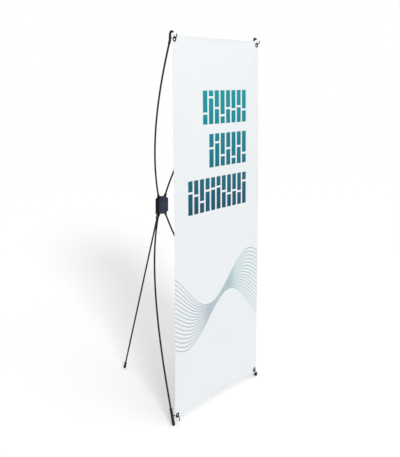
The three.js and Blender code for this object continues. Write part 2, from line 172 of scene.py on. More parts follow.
addCamera(camera)
addStudio(studio)
addFloor(studio)
print("camera, light and floor made")


class Link:
    def __init__(self, finish, socket):
        self.finish, self.socket = finish, socket

    def maths(self, operation, *values):
        return self.finish.node("ShaderNodeMath", dict(operation=operation), values)

    def __add__(self, other):
        return self.maths("ADD", self, other)

    def __radd__(self, other):
        return self.maths("ADD", other, self)

    def __sub__(self, other):
        return self.maths("SUBTRACT", self, other)

    def __rsub__(self, other):
        return self.maths("SUBTRACT", other, self)

    def __mul__(self, other):
        return self.maths("MULTIPLY", self, other)

    def __rmul__(self, other):
        return self.maths("MULTIPLY", other, self)

    def __truediv__(self, other):
        return self.maths("DIVIDE", self, other)

    def __rtruediv__(self, other):
        return self.maths("DIVIDE", other, self)

    def __gt__(self, other):
        return self.maths("GREATER_THAN", self, other)

    def __lt__(self, other):
        return self.maths("LESS_THAN", self, other)

    def floor(self):
        return self.maths("FLOOR", self)

    def fract(self):
        return self.maths("FRACT", self)

    def abs(self):
        return self.maths("ABSOLUTE", self)

    def sine(self):
        return self.maths("SINE", self)

    def most(self, other):
        return self.maths("MAXIMUM", self, other)

    def least(self, other):
        return self.maths("MINIMUM", self, other)


class Finish:
    def __init__(self, name):
        self.material = bpy.data.materials.new(name)
        self.material.use_nodes = True
        self.tree = self.material.node_tree
        self.shader = self.tree.nodes["Principled BSDF"]

    def node(self, kind, settings=None, inputs=None, output=0):
        made = self.tree.nodes.new(kind)
        for key, value in (settings or {}).items():
            if key == "stops":
                self.setStops(made.color_ramp, value)
            else:
                setattr(made, key, value)
        pairs = inputs.items() if isinstance(inputs, dict) else enumerate(inputs or ())
        for key, value in pairs:
            self.feed(made.inputs[key], value)
        if isinstance(output, tuple):
            return [Link(self, made.outputs[each]) for each in output]
        return Link(self, made.outputs[output])

    def feed(self, socket, value):
        if isinstance(value, Link):
            self.tree.links.new(value.socket, socket)
        elif socket.type == "RGBA":
            socket.default_value = (*value[:3], 1)
        else:
            socket.default_value = value

    def setStops(self, ramp, stops):
        while len(ramp.elements) < len(stops):
            ramp.elements.new(0.5)
        for element, (place, colour) in zip(ramp.elements, stops):
            element.position = place
            element.color = (*colour, 1)

    def where(self):
        return self.node("ShaderNodeTexCoord", output="Object")

    def layer(self, name, output="Fac"):
        return self.node("ShaderNodeAttribute", dict(attribute_name=name), output=output)

    def stretched(self, vector, scale):
        return self.node("ShaderNodeMapping", None, {"Vector": vector, "Scale": scale})

    def grain(self, vector, scale, detail=3, roughness=0.5):
        values = {"Vector": vector, "Scale": scale, "Detail": detail, "Roughness": roughness}
        return self.node("ShaderNodeTexNoise", None, values)

    def ramped(self, value, low, high, start=0, end=1):
        values = {"Value": value, "From Min": low, "From Max": high, "To Min": start, "To Max": end}
        return self.node("ShaderNodeMapRange", dict(interpolation_type="SMOOTHSTEP"), values)

    def mixed(self, share, first, second):
        return self.node("ShaderNodeMix", dict(data_type="RGBA"), {0: share, 6: first, 7: second}, 2)

    def bumped(self, height, strength, distance):
        values = {"Height": height, "Strength": strength, "Distance": distance}
        return self.node("ShaderNodeBump", None, values)

    def shaded(self, **values):
        names = dict(colour="Base Color", roughness="Roughness", metallic="Metallic", normal="Normal",
                     coat="Coat Weight", gloss="Specular IOR Level")
        for key, value in values.items():
            self.feed(self.shader.inputs[names[key]], value)
        return self.material


def tone(red, green, blue):
    return tuple((c / 255 / 12.92) if c < 10.3 else ((c / 255 + 0.055) / 1.055) ** 2.4
                 for c in (red, green, blue))


nylon = dict(dark=tone(8, 9, 12), pale=tone(17, 18, 22), rubbedAndHighlight=tone(58, 60, 66),
             grainScale=2600, grainDepth=0.00008, roughness=0.4, gloss=0.3)
hubPlastic = dict(dark=tone(8, 10, 18), pale=tone(15, 19, 34), rubbedAndHighlight=tone(60, 66, 84),
                  grainScale=1900, grainDepth=0.00012, roughness=0.45, gloss=0.13)
# The hub's forward faces take a lighter copy of the hub moulding: painted light and a painted reflection of
# the sheet's back.
hubPaintedLitFace = dict(dark=tone(38, 47, 69), pale=tone(55, 65, 89), rubbedAndHighlight=tone(104, 111, 126),
                grainScale=1500, grainDepth=0.00016, roughness=0.5, gloss=0.35)
rodSkin = dict(dark=tone(5, 6, 9), pale=tone(18, 20, 25), streakScale=1500, roughness=0.3)
# Hook wire: light steel darkened, painted shade.
hookWirePaintedShade = dict(dark=tone(20, 21, 24), pale=tone(44, 46, 50), roughness=0.32, metallic=0.5)
# Eyelets: nickel darkened to near black, painted shade.
nickelPaintedShade = dict(dark=tone(18, 19, 22), pale=tone(46, 48, 53), roughness=0.34, metallic=0.7)
rivetBlack = dict(dark=tone(30, 33, 42), pale=tone(58, 62, 72), roughness=0.38, metallic=0.6)
pvc = dict(white=tone(208, 211, 213), shade=tone(203, 207, 209), backWhite=tone(232, 233, 233),
           threadPitch=1.1, roughness=0.5)
ink = dict(wide=1600,
           rows=(dict(top=220, bottom=364, left=188, right=498, bars=8, seed=3),
                 dict(top=406, bottom=551, left=229, right=498, bars=7, seed=11),
                 dict(top=595, bottom=740, left=87, right=498, bars=11, seed=23)),
           gap=10, cut=4.5, cutFrom=0.2, cutSpan=0.6,
           shades=((0.1375, tone(6, 130, 136)), (0.30, tone(4, 104, 118)),
                   (0.4625, tone(3, 66, 87))))
fan = dict(length=600, middle=1140, swing=70, widest=300, narrowest=24, lines=15, strength=0.85,
           halfLine=1.4, softLine=0.5, thickShare=0.3, softShare=0.14,
           slate=tone(84, 108, 124), teal=tone(24, 132, 142))


def mouldedFinish(name, values):
    finish = Finish(name)
    where = finish.where()
    worn = finish.layer("worn")
    patch = finish.grain(where, 90, 4, 0.6)
    fine = finish.grain(where, values["grainScale"], 2, 0.6)
    scuff = finish.ramped(finish.grain(where, 340, 5, 0.7), 0.56, 0.72)
    # Convex edges lighten towards the rubbed tone: wear and a painted edge highlight.
    rubAndHighlight = finish.ramped(worn * (0.55 + 0.9 * patch), 0.12, 0.75)
    plain = finish.mixed(patch, values["dark"], values["pale"])
    colour = finish.mixed(rubAndHighlight * 0.55, plain, values["rubbedAndHighlight"])
    roughness = values["roughness"] + 0.16 * patch + 0.1 * scuff - 0.1 * rubAndHighlight
    height = fine + 0.35 * scuff
    normal = finish.bumped(height, 0.45, values["grainDepth"])
    return finish.shaded(colour=colour, roughness=roughness, normal=normal, gloss=values["gloss"])


def rodFinish(values):
    finish = Finish("blackFibreglass")
    straight = finish.layer("straight", "Vector")
    along = finish.stretched(straight, (1, 1, 0.012))
    streak = finish.grain(along, values["streakScale"], 3, 0.6)
    broad = finish.grain(finish.stretched(straight, (1, 1, 0.06)), 260, 3, 0.6)
    speck = finish.ramped(finish.grain(straight, 900, 4, 0.75), 0.66, 0.74)
    colour = finish.mixed(streak * 0.6 + 0.3 * speck, values["dark"], values["pale"])
    roughness = values["roughness"] + 0.12 * broad + 0.12 * speck
    normal = finish.bumped(streak + 0.5 * broad, 0.25, 0.00006)
    return finish.shaded(colour=colour, roughness=roughness, normal=normal, gloss=0.3, coat=0.1 * broad)


def metalFinish(name, values, layer=None):
    finish = Finish(name)
    where = finish.layer(layer, "Vector") if layer else finish.where()
    drawn = finish.grain(finish.stretched(where, (1, 1, 0.05 if layer else 1)), 2400, 3, 0.6)
    cloud = finish.grain(where, 240, 4, 0.65)
    pit = finish.ramped(finish.grain(where, 1300, 3, 0.7), 0.62, 0.7)
    worn = finish.layer("worn")
    # Convex edges lighten: wear and a painted edge highlight.
    colour = finish.mixed(finish.ramped(cloud * 0.8 + worn * 0.4, 0.3, 0.75),
                          values["dark"], values["pale"])
    roughness = values["roughness"] + 0.18 * cloud + 0.12 * pit
    normal = finish.bumped(drawn - 0.6 * pit, 0.3, 0.00005)
    metallic = values["metallic"] - 0.25 * pit
    return finish.shaded(colour=colour, roughness=roughness, metallic=metallic, normal=normal)


def flatPlaces(finish, values):
    flat = finish.node("ShaderNodeUVMap", dict(uv_map="flat"))
    across, up = finish.node("ShaderNodeSeparateXYZ", None, [flat], (0, 1))
    return flat, across * values["wide"], (1 - up) * values["wide"]


def barRow(finish, across, down, row):
    pitch = (row["right"] - row["left"] + ink["gap"]) / row["bars"]
    tall = row["bottom"] - row["top"]
    inside = (down > row["top"]) * (down < row["bottom"])
    inside = inside * (across > row["left"]) * (across < row["right"])
    place = (across - row["left"]) / pitch
    number = place.floor()
    stem = place.fract() < 1 - ink["gap"] / pitch
    chance = finish.node("ShaderNodeTexWhiteNoise", dict(noise_dimensions="1D"),
                         {"W": number + row["seed"]})
    cutPlace = row["top"] + tall * (ink["cutFrom"] + ink["cutSpan"] * chance)
    return inside * stem * ((down - cutPlace).abs() > ink["cut"])


def fanLines(finish, across, down):
    # A twisted ribbon of evenly spread lines, which swings as a sine and is pinched halfway.
    turn = across * (2 * math.pi / fan["length"])
    middle = fan["middle"] + fan["swing"] * turn.sine()
    opening = 0.5 + 0.5 * (turn + math.pi / 2).sine()
    spread = fan["narrowest"] + (fan["widest"] - fan["narrowest"]) * opening
    share = (down - middle) / spread + 0.5
    pitch = spread / fan["lines"]
    away = ((share * fan["lines"] + 0.5).fract() - 0.5).abs()
    edge = (fan["halfLine"] / pitch).least(fan["thickShare"])
    soft = (fan["softLine"] / pitch).least(fan["softShare"])
    reach = fan["halfLine"] / spread
    return finish.ramped(away, edge + soft, edge - soft) * (share > 0 - reach) * (share < 1 + reach)


def printedFinish():
    finish = Finish("printedVinyl")
    flat, across, down = flatPlaces(finish, ink)
    bars = None
    for row in ink["rows"]:
        made = barRow(finish, across, down, row)
        bars = made if bars is None else bars + made
    shade = finish.node("ShaderNodeValToRGB", dict(stops=ink["shades"]), [down / ink["wide"]])

    lines = fanLines(finish, across, down) * fan["strength"]
    lineTone = finish.mixed(finish.ramped(across, 80, 560), fan["slate"], fan["teal"])

    broad = finish.grain(flat, 5, 3, 0.5)
    fine = finish.grain(flat, 700, 2, 0.5)
    plain = finish.mixed(broad, pvc["white"], pvc["shade"])
    withLines = finish.mixed(lines, plain, lineTone)
    colour = finish.mixed(bars, withLines, shade)
    turn = 2 * math.pi / pvc["threadPitch"]
    weave = (across * turn).sine() * (down * turn).sine()
    covered = bars.most(lines)
    roughness = pvc["roughness"] + 0.08 * fine - 0.1 * covered
    normal = finish.bumped(0.5 + 0.3 * weave + 0.3 * fine, 0.12, 0.0001)
    return finish.shaded(colour=colour, roughness=roughness, normal=normal, gloss=0.12)


def plainVinylFinish():
    finish = Finish("vinylBack")
    flat, across, down = flatPlaces(finish, ink)
    broad = finish.grain(flat, 4, 3, 0.5)
    turn = 2 * math.pi / pvc["threadPitch"]
    weave = (across * turn).sine().abs().most((down * turn).sine().abs())
    colour = finish.mixed(broad, pvc["backWhite"], pvc["shade"])
    roughness = 0.6 + 0.1 * finish.grain(flat, 500, 2)
    normal = finish.bumped(weave, 0.2, 0.0001)
    return finish.shaded(colour=colour, roughness=roughness, normal=normal, gloss=0.3)


finishes = dict(nylon=mouldedFinish("blackNylon", nylon), hub=mouldedFinish("hubMoulding", hubPlastic),
                paintedLitFace=mouldedFinish("hubPaintedLitFace", hubPaintedLitFace), rod=rodFinish(rodSkin),
                wire=metalFinish("hookWirePaintedShade", hookWirePaintedShade, "straight"),
                nickel=metalFinish("nickelPaintedShade", nickelPaintedShade),
                rivet=metalFinish("rivetBlack", rivetBlack),
                front=printedFinish(), back=plainVinylFinish())
print("finishes made:", len(finishes))


def softened(corners, closed=False, steps=3):
    # Corners are (radius, height) or (radius, height, softness).
    points = []
    for i, corner in enumerate(corners):
        here = Vector(corner[:2])
        soft = corner[2] if len(corner) > 2 else 0
        if not soft or (not closed and i in (0, len(corners) - 1)):
            points.append(here)
            continue
        before = Vector(corners[i - 1][:2]) - here
        after = Vector(corners[(i + 1) % len(corners)][:2]) - here
        start = here + before.normalized() * min(soft, before.length * 0.48)
        end = here + after.normalized() * min(soft, after.length * 0.48)
        for k in range(steps + 1):
            t = k / steps
            points.append(start.lerp(here, t).lerp(here.lerp(end, t), t))
    return points


def turned(corners, start, direction, sides=48, closed=False):
    shape = bmesh.new()
    points = softened(corners, closed)
    verts = [shape.verts.new((max(p.x, 0), 0, p.y)) for p in points]
    ends = verts[1:] + verts[:1] if closed else verts[1:]
    edges = [shape.edges.new(pair) for pair in zip(verts, ends)]
    bmesh.ops.spin(shape, geom=verts + edges, cent=(0, 0, 0), axis=(0, 0, 1), dvec=(0, 0, 0),
                   angle=2 * math.pi, steps=sides, use_merge=True, use_duplicate=False)
    bmesh.ops.remove_doubles(shape, verts=shape.verts, dist=0.0005)
    turn = Vector((0, 0, 1)).rotation_difference(direction).to_matrix().to_4x4()
    bmesh.ops.transform(shape, matrix=Matrix.Translation(start) @ turn, verts=shape.verts)
    bmesh.ops.recalc_face_normals(shape, faces=shape.faces)
    return shape


def tube(points, radii, sides=24):
    # The straight layer keeps where each point would be if the bar were unbent.
    shape = bmesh.new()
    straight = shape.verts.layers.float_vector.new("straight")
    ways = [(points[min(i + 1, len(points) - 1)] - points[max(i - 1, 0)]).normalized()
            for i in range(len(points))]
    ring = bmesh.ops.create_circle(shape, cap_ends=True, segments=sides, radius=1)["verts"]
    for vert in ring:
        vert[straight] = vert.co * radii[0] * 0.001
    edges = list(shape.edges)
    turn = Vector((0, 0, 1)).rotation_difference(ways[0])
    placed = Matrix.Identity(4)
    for i, (point, radius) in enumerate(zip(points, radii)):
        if i:
            turn = ways[i - 1].rotation_difference(ways[i]) @ turn
            made = bmesh.ops.extrude_edge_only(shape, edges=edges)["geom"]
            ring = [g for g in made if isinstance(g, bmesh.types.BMVert)]
            known = set(ring)
            edges = [g for g in made if isinstance(g, bmesh.types.BMEdge)
                     and g.verts[0] in known and g.verts[1] in known]
            step = (point - points[i - 1]).length * 0.001
            ratio = radius / radii[i - 1]
            for vert in ring:
                x, y, z = vert[straight]
                vert[straight] = (x * ratio, y * ratio, z + step)
        scaled = Matrix.Diagonal((radius, radius, radius, 1))
        target = Matrix.Translation(point) @ turn.to_matrix().to_4x4() @ scaled
        bmesh.ops.transform(shape, matrix=target @ placed.inverted(), verts=ring)
        placed = target
    bmesh.ops.contextual_create(shape, geom=edges)
    bmesh.ops.recalc_face_normals(shape, faces=shape.faces)
    return shape


def slab(outline, depth, axisX, axisY, origin):
    # An outline in the plane of two axes, with a thickness along their normal, about its middle.
    shape = bmesh.new()
    normal = axisX.cross(axisY)
    verts = [shape.verts.new(origin + axisX * x + axisY * y - normal * depth / 2) for x, y in outline]
    face = shape.faces.new(verts)
    made = bmesh.ops.extrude_face_region(shape, geom=[face])["geom"]
    bmesh.ops.translate(shape, vec=normal * depth,
                        verts=[g for g in made if isinstance(g, bmesh.types.BMVert)])
    bmesh.ops.recalc_face_normals(shape, faces=shape.faces)
    return shape


def ballShape(centre, radius, sides=32):
    shape = bmesh.new()
    bmesh.ops.create_uvsphere(shape, u_segments=sides, v_segments=sides // 2, radius=radius)
    bmesh.ops.translate(shape, vec=centre, verts=shape.verts)
    return shape


def nodeShape(name):
    # A merged copy of a CAD node, in millimetres.
    shape = bmesh.new()
    shape.from_mesh(frame["nodes"][name].data)
    bmesh.ops.scale(shape, vec=(1000, 1000, 1000), verts=shape.verts)
    bmesh.ops.remove_doubles(shape, verts=shape.verts, dist=0.002)
    bmesh.ops.dissolve_limit(shape, angle_limit=math.radians(1.5), verts=shape.verts,
                             edges=shape.edges)
    return shape


def joined(shapes):
    whole = bmesh.new()
    whole.verts.layers.float_vector.new("straight")
    for shape in shapes:
        holder = bpy.data.meshes.new("holder")
        shape.to_mesh(holder)
        shape.free()
        whole.from_mesh(holder)
        bpy.data.meshes.remove(holder)
    return whole


def applyAll(piece):
    dg = bpy.context.evaluated_depsgraph_get()
    done = bpy.data.meshes.new_from_object(piece.evaluated_get(dg))
    piece.modifiers.clear()
    old, piece.data = piece.data, done
    bpy.data.meshes.remove(old)


def markWearAndEdgeHighlight(mesh):
    # Outward edges and corners, which rub first; they are lightened as wear and as a painted edge highlight.
    # Coarse faces would smear it, so they have none.
    shape = bmesh.new()
    shape.from_mesh(mesh)
    shape.normal_update()
    amounts = []
    for vert in shape.verts:
        links = [e.other_vert(vert).co - vert.co for e in vert.link_edges]
        size = sum(link.length for link in links) / max(len(links), 1)
        middle = sum(links, Vector()) / max(len(links), 1)
        fine = max((link.length for link in links), default=0) < 0.003
        amounts.append(max(0.0, -middle.dot(vert.normal) / max(size, 1e-9)) if fine else 0)
    shape.free()
    layer = mesh.attributes.new("worn", "FLOAT", "POINT")
    layer.data.foreach_set("value", [min(1.0, 2.2 * a) for a in amounts])


def newPiece(name, shapes):
    whole = joined(shapes)
    bmesh.ops.scale(whole, vec=(0.001, 0.001, 0.001), verts=whole.verts)
    mesh = bpy.data.meshes.new(name)
    whole.to_mesh(mesh)
    whole.free()
    piece = bpy.data.objects.new(name, mesh)
    bpy.context.scene.collection.objects.link(piece)
    return piece


def carvePiece(piece, cutters):
    tool = newPiece("cutter", cutters)
    toolMesh = tool.data
    carve = piece.modifiers.new("carve", "BOOLEAN")
    carve.operation = "DIFFERENCE"
    carve.solver = "EXACT"
    carve.object = tool
    applyAll(piece)
    bpy.data.objects.remove(tool)
    bpy.data.meshes.remove(toolMesh)


def meltPiece(piece, cell):
    # Runs shapes that overlap into one skin, as a mould would.
    cells = piece.modifiers.new("melt", "REMESH")
    cells.mode = "VOXEL"
    cells.voxel_size = cell * 0.001
    soften = piece.modifiers.new("soften", "SMOOTH")
    soften.factor = 0.5
    soften.iterations = 4
    applyAll(piece)


def bevelPiece(piece, width, sharp):
    piece.data.shade_smooth()
    piece.data.set_sharp_from_angle(angle=math.radians(sharp))
    edge = piece.modifiers.new("edge", "BEVEL")
    edge.width = width * 0.001
    edge.segments = 3
    edge.limit_method = "ANGLE"
    edge.angle_limit = math.radians(32)
    edge.use_clamp_overlap = True
    edge.harden_normals = True
    applyAll(piece)


def makePiece(name, shapes, finish, body, replaces, melt=0, bevel=0, cutters=(), sharp=38):
    piece = newPiece(name, shapes)
    if cutters:
        carvePiece(piece, cutters)
    if melt:
        meltPiece(piece, melt)
    if bevel:
        bevelPiece(piece, bevel, sharp)
    mesh = piece.data
    mesh.name = name
    if not bevel:
        mesh.shade_smooth()
    if not melt and not bevel:
        mesh.set_sharp_from_angle(angle=math.radians(sharp))
    markWearAndEdgeHighlight(mesh)
    mesh.materials.clear()
    for each in finish if isinstance(finish, (list, tuple)) else [finish]:
        mesh.materials.append(finishes[each])
    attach(piece, body)
    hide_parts(*replaces)
    return piece


armShapes = dict(upper=dict(up=1, splay=0.349, forward=0.122, reach=317, endOut=3.6, endBack=20.7),
                 lower=dict(up=-1, splay=0.404, forward=0.077, reach=290, endOut=7.5, endBack=25.9))
armSizes = dict(pivotDepth=22, proud=10, hookLift=3.45, endToHook=9.4, rod=8.0, bore=8.2,
                boreDepth=20)
leg = dict(rod=7.6, bore=7.8, socketLength=34, boreDepth=20, endHeight=17, knuckle=7, knuckleHalf=8.6,
           sleeveWall=2.2, footBack=596.4, footSleeve=12, poleSteps=24,
           heelWide=12, heelLift=1, heelStep=3, heelRise=2.1, heelTall=8)


def quadratic(a, b, c, count):
    return [a.lerp(b, t).lerp(b.lerp(c, t), t) for t in (k / count for k in range(count + 1))]


def cubic(a, b, c, d, count):
    made = []
    for k in range(count + 1):
        t = k / count
        first, second, third = a.lerp(b, t), b.lerp(c, t), c.lerp(d, t)
        made.append(first.lerp(second, t).lerp(second.lerp(third, t), t))
    return made


def flowing(points, count):
    # A centripetal curve through the points.
    ends = [2 * points[0] - points[1]] + points + [2 * points[-1] - points[-2]]
    made = []
    for i in range(1, len(ends) - 2):
        p = ends[i - 1:i + 3]
        t = [0.0]
        for k in range(3):
            t.append(t[-1] + math.sqrt((p[k + 1] - p[k]).length))
        for k in range(count):
            at = t[1] + (t[2] - t[1]) * k / count
            a = [p[j] * ((t[j + 1] - at) / (t[j + 1] - t[j]))
                 + p[j + 1] * ((at - t[j]) / (t[j + 1] - t[j])) for j in range(3)]
            b = [a[j] * ((t[j + 2] - at) / (t[j + 2] - t[j]))
                 + a[j + 1] * ((at - t[j]) / (t[j + 2] - t[j])) for j in range(2)]
            made.append(b[0] * ((t[2] - at) / (t[2] - t[1])) + b[1] * ((at - t[1]) / (t[2] - t[1])))
    made.append(points[-1])
    return made


def armLine(name):
    level, sideName = name.split("_")
    arm = armShapes[level]
    side = -1 if sideName == "left" else 1
    pivot = hinges[name + "_arm"]
    out = Vector((side * arm["splay"], -arm["forward"], arm["up"])).normalized()
    edge = pivot + out * armSizes["pivotDepth"]
    eyelet = centreOf(name + "_eyelet")
    eyelet.y = sheetY
    hookZ = eyelet.z + arm["up"] * armSizes["hookLift"]
    end = Vector((eyelet.x + side * arm["endOut"], sheetY + arm["endBack"],
                  hookZ - arm["up"] * armSizes["endToHook"]))
    bend = edge + out * arm["reach"]
    return dict(name=name, side=side, up=arm["up"], pivot=pivot, out=out, edge=edge, eyelet=eyelet,
                hookZ=hookZ, end=end, bend=bend, endWay=(end - bend).normalized(),
                mouth=edge + out * armSizes["proud"])


armLines = [armLine(level + "_" + side) for level in ("upper", "lower") for side in ("left", "right")]
forward = Vector((0, -1, 0))
backward = Vector((0, 1, 0))


sheet = dict(width=600, height=1600, thick=0.5, columns=84, rows=200, topDip=3, bottomRise=10,
             bow=4.2, belly=1.2, ripple=0.5, curlTop=3.2, curlBottom=4.5, curlReach=11,
             foldedShare=0.17, foldHeight=0.8, fold=1.1, foldCount=7, foldReach=120, holeRadius=6.5)


def eased(value, low, high):
    t = min(1.0, max(0.0, (value - low) / (high - low)))
    return t * t * (3 - 2 * t)


def sheetPoint(across, down):
    width, height = sheet["width"], sheet["height"]
    middle = 4 * across / width * (1 - across / width)
    share = down / height
    z = sheetHigh.z - down - sheet["topDip"] * middle * (1 - share) + sheet["bottomRise"] * middle * share
    y = -sheet["bow"] * math.sin(math.pi * share) - sheet["belly"] * middle * math.sin(math.pi * share)
    y += sheet["ripple"] * noise.noise(Vector((across / 230, down / 310, 4.2))) * 2
    y -= sheet["curlTop"] * middle * math.exp(-down / sheet["curlReach"])
    y += sheet["curlBottom"] * middle * math.exp(-(height - down) / sheet["curlReach"])
    nearest = 1e9
    for line in armLines:
        dx = across - width / 2 - line["eyelet"].x
        dz = z - line["eyelet"].z
        far = math.hypot(dx, dz)
        nearest = min(nearest, far)
        turn = math.atan2(dz, dx)
        y += sheet["fold"] * math.sin(sheet["foldCount"] * turn) * eased(far, 14, 60) * math.exp(
            -(far / sheet["foldReach"]) ** 2)
    y *= eased(nearest, 12, 34)
    return Vector((across - width / 2, sheetY + y, z))


def addSheet():
    shape = bmesh.new()
    flat = shape.loops.layers.uv.new("flat")
    bmesh.ops.create_grid(shape, x_segments=sheet["columns"], y_segments=sheet["rows"], size=0.5)
    for face in shape.faces:
        for loop in face.loops:
            x, y = loop.vert.co.x + 0.5, loop.vert.co.y + 0.5
            loop[flat].uv = (x * sheet["width"] / ink["wide"], y * sheet["height"] / ink["wide"])
    for vert in shape.verts:
        vert.co = sheetPoint((vert.co.x + 0.5) * sheet["width"], (0.5 - vert.co.y) * sheet["height"])
    shape.normal_update()
    bmesh.ops.recalc_face_normals(shape, faces=shape.faces)
    bmesh.ops.solidify(shape, geom=list(shape.faces), thickness=sheet["thick"])
    middle = [v.co.y for v in shape.verts if abs(v.co.x) > 299 and abs(v.co.z - sheetHigh.z) < 1]
    bmesh.ops.translate(shape, vec=(0, sheetY - (min(middle) + max(middle)) / 2, 0), verts=shape.verts)
    shape.normal_update()
    bmesh.ops.recalc_face_normals(shape, faces=shape.faces)
    cutters = [turned([(0, -3), (sheet["holeRadius"], -3), (sheet["holeRadius"], 3), (0, 3)],
                      line["eyelet"], backward, 40) for line in armLines]
    piece = makePiece("printedSheet", [shape], ["front", "back"], "hub", ["banner_sheet"],
                      cutters=cutters, sharp=50)
    for face in piece.data.polygons:
        face.material_index = 0 if face.normal.y < -0.5 else 1
    return piece


printedSheet = addSheet()
print("sheet made:", len(printedSheet.data.polygons), "faces")


eyelet = dict(bore=5.5, barrel=6.2, outer=11, face=0.55, flange=1.1, washer=0.65, roll=1.4, rollThick=0.4,
              gap=0.3)


def addEyelet(line):
    face, bore, barrel, outer = (eyelet[k] for k in ("face", "bore", "barrel", "outer"))
    front = -face - eyelet["flange"]
    rollStart = face + eyelet["washer"] + eyelet["gap"]
    rollEnd = rollStart + eyelet["rollThick"]
    flange = [(bore, front + 0.7, 0.5), (bore + 0.55, front, 0.6), (outer - 2.6, front, 1.5),
              (outer - 0.2, front + 0.65, 0.4), (outer, -face, 0.12), (barrel, -face, 0),
              (barrel, rollStart, 0), (barrel + eyelet["roll"], rollStart, 0.15),
              (barrel + eyelet["roll"], rollEnd, 0.2), (bore + 0.3, rollEnd, 0.3), (bore, rollStart, 0.3)]
    washer = [(barrel + 0.3, face, 0.1), (outer - 0.5, face, 0.1), (outer - 0.6, face + 0.35, 0.2),
              (outer - 2.2, face + eyelet["washer"], 0.6), (barrel + 0.3, face + eyelet["washer"], 0.1)]
    name, body = line["name"], line["name"] + "_arm"
    makePiece(name + "EyeletFront", [turned(flange, line["eyelet"], backward, 64, True)],
                                  "nickel", body, [name + "_eyelet"], sharp=50)
    makePiece(name + "EyeletBack", [turned(washer, line["eyelet"], backward, 64, True)],
                                  "nickel", body, [name + "_eyelet_washer"], sharp=50)


for line in armLines:
    addEyelet(line)


pole = dict(sides=28, socketSteps=3, bowSteps=72)


def addPole(line):
    start = line["mouth"] - line["out"] * (armSizes["boreDepth"] - 0.3)
    points = [start.lerp(line["mouth"], k / pole["socketSteps"]) for k in range(pole["socketSteps"])]
    points += quadratic(line["mouth"], line["bend"], line["end"], pole["bowSteps"])
    shape = tube(points, [armSizes["rod"] / 2] * len(points), pole["sides"])
    makePiece(line["name"] + "Pole", [shape], "rod", line["name"] + "_arm",
              [line["name"] + "_pole"], sharp=60)


for line in armLines:
    addPole(line)
print("poles made")


socket = dict(knuckle=7, knuckleHalf=7.3, neck=4.6, neckLength=11, sleeveStart=9, sleeve=6.3,
              lip=0.5, lipLength=2.6, melt=0.42)
rivet = dict(shank=2.4, head=4.2, tall=1.4)


def sleeveProfile(start, mouth, radius, bore, boreDepth, lip, lipLength):
    return [(0, start), (radius - 0.9, start, 0.6), (radius, start + 1.6, 0.9),
            (radius, mouth - lipLength - 0.6, 0.3), (radius + lip, mouth - lipLength, 0.3),
            (radius + lip, mouth - 0.4, 0.5), (bore + 0.5, mouth, 0.4), (bore, mouth - 0.5, 0.2),
            (bore, mouth - boreDepth, 0), (0, mouth - boreDepth)]


def knuckleAndNeck(centre, axis, radius, half, start, way):
    knuckle = turned([(0, -half), (radius, -half, 0.6), (radius, half, 0.6), (0, half)], centre, axis)
    thick, length = socket["neck"], socket["neckLength"]
    neck = turned([(0, 0), (thick, 0), (thick, length), (0, length)], start, way)
    return [knuckle, neck]


def addSocket(line):
    mouth = armSizes["pivotDepth"] + armSizes["proud"]
    centre = Vector((line["pivot"].x, hubY, line["pivot"].z))
    root = knuckleAndNeck(centre, backward, socket["knuckle"], socket["knuckleHalf"], line["pivot"],
                          line["out"])
    sleeve = turned(sleeveProfile(socket["sleeveStart"], mouth, socket["sleeve"], armSizes["bore"] / 2,
                                  armSizes["boreDepth"], socket["lip"], socket["lipLength"]),
                    line["pivot"], line["out"])
    makePiece(line["name"] + "Socket", root + [sleeve], "nylon", line["name"] + "_arm",
              [line["name"] + "_socket"], melt=socket["melt"])


def rivetShape(start, direction, span):
    shank, head, tall = rivet["shank"], rivet["head"], rivet["tall"]
    profile = [(0, 0.45 - tall), (1.0, 0.45 - tall, 0.3), (1.5, -tall, 0.4), (0.72 * head, -0.86 * tall, 0.8),
               (head, -0.15 * tall, 0.4), (head, 0, 0.1), (shank, 0, 0), (shank, span, 0),
               (0.8 * head, span, 0.1), (0.8 * head, span + 0.5 * tall, 0.4), (1.6, span + 0.8 * tall, 0.3),
               (1.1, span + 0.3 * tall, 0.3), (0, span + 0.3 * tall)]
    return turned(profile, start, direction, 40)


def addRivet(line):
    low, high = boxOf(line["name"] + "_pivot_rivet")
    start = Vector((line["pivot"].x, low.y + rivet["tall"], line["pivot"].z))
    span = high.y - 0.8 * rivet["tall"] - start.y
    makePiece(line["name"] + "Rivet", [rivetShape(start, backward, span)], "rivet", "hub",
              [line["name"] + "_pivot_rivet"], sharp=45)


for line in armLines:
    addSocket(line)
    addRivet(line)
print("sockets and rivets made")


cap = dict(radius=5.1, rim=0.3, rimLength=2, sleeve=16, nose=4.9, noseTip=4.4, noseRise=10, noseBack=6,
           straight=8, curlBack=3.3, curlRise=10, melt=0.4, rings=(-10.2, -8.0, -5.8), ringDepth=0.3,
           noseSteps=24)
foot = dict(wall=2.1, sleeve=18, radius=6.6, flat=5.6, rim=0.7, rimLength=3, melt=0.42)
wire = dict(radius=1.9, rise=16, forward=15, out=4, rootShare=0.27, rootBack=1, sides=20)


def noseCurve(line, count):
    x = line["end"].x
    tip = Vector((x, sheetY + cap["noseBack"], sheetHigh.z + cap["noseRise"]))
    curl = Vector((x, line["end"].y + cap["curlBack"], tip.z + cap["curlRise"]))
    return cubic(line["end"], line["end"] + line["endWay"] * cap["straight"], curl, tip, count)


